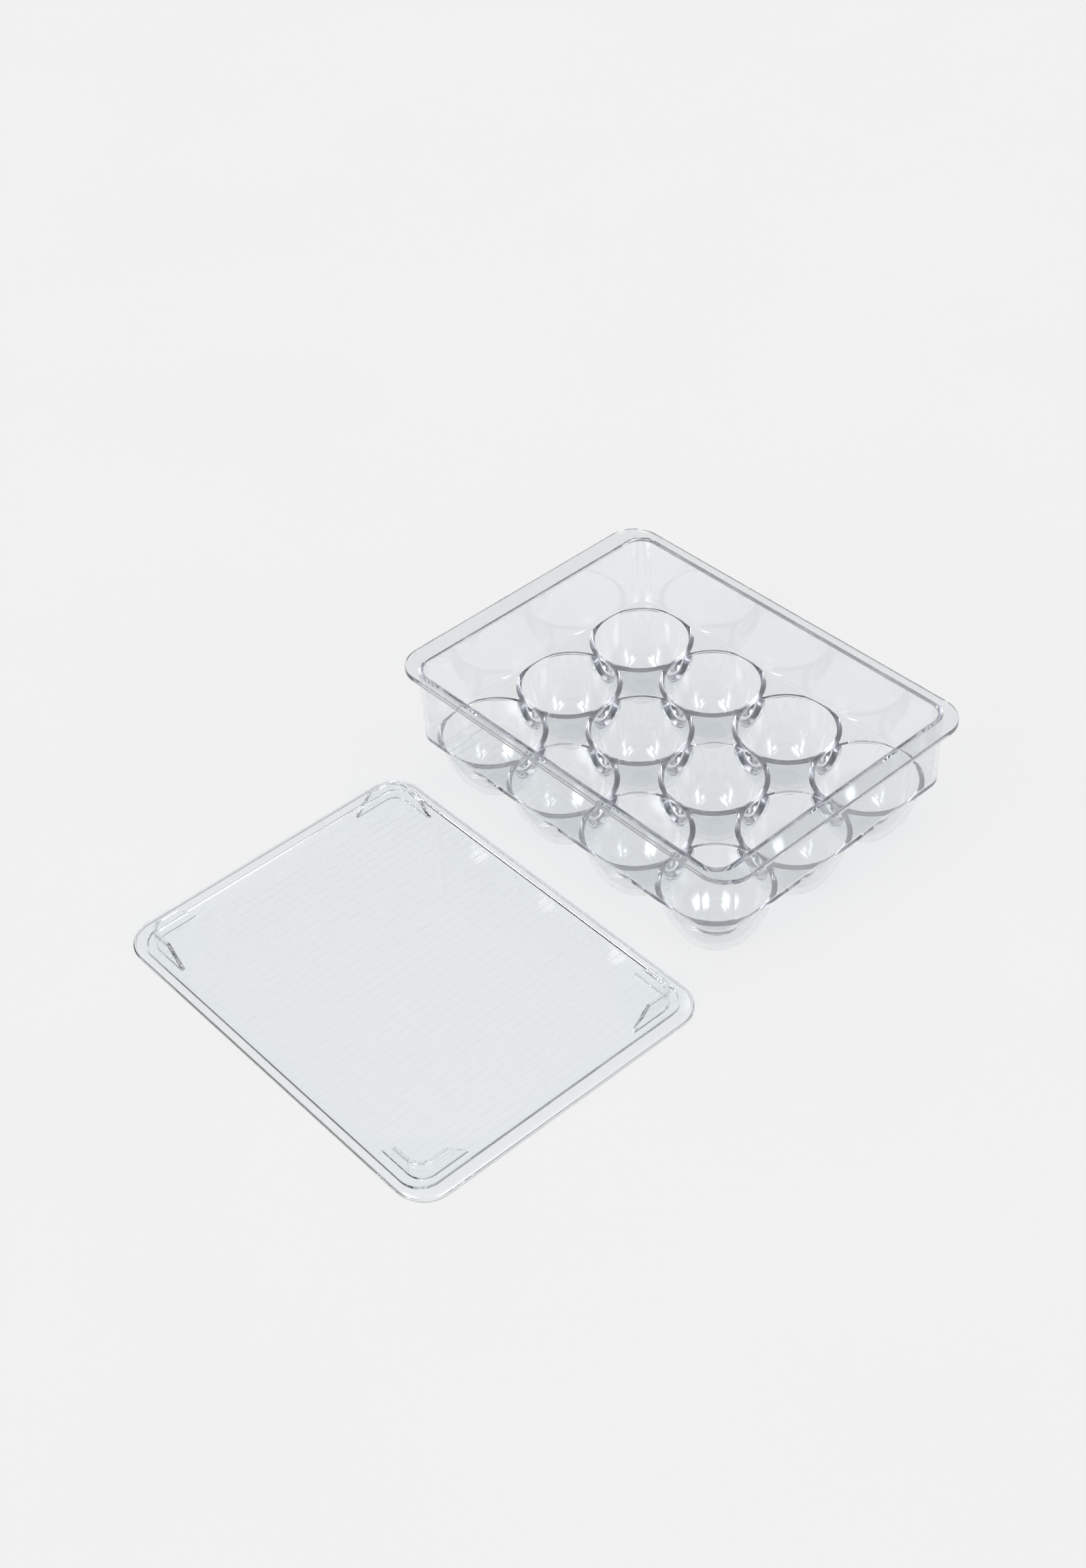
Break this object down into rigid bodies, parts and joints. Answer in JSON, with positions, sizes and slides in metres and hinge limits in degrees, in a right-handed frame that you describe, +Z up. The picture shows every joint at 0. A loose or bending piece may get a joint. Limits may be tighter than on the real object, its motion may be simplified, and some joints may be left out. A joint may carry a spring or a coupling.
{
  "type": "egg keeper with lid",
  "caption": "Clear moulded egg tray with hanging cups, a flat rim and side grips, and a loose ribbed lid with four corner tabs.",
  "frame": {"origin": "the middle of the ground covered by the open set, tray and lid side by side", "axes": "+X along the long sides of the tray and lid, +Y from the lid towards the tray, +Z up"},
  "size_m": [0.225, 0.3238, 0.0726],
  "materials": {
    "tray_plastic": "clear, polished",
    "lid_plastic": "clear, finely ribbed panel"
  },
  "bodies": {
    "tray": {"egg_tray": "tray_plastic"},
    "lid": {"lid": "lid_plastic"}
  },
  "joints": [
    {"name": "lid_lift", "type": "slide", "parent": "tray", "child": "lid", "axis": [0, 0, 1], "range_m": [0, 0.09]}
  ]
}
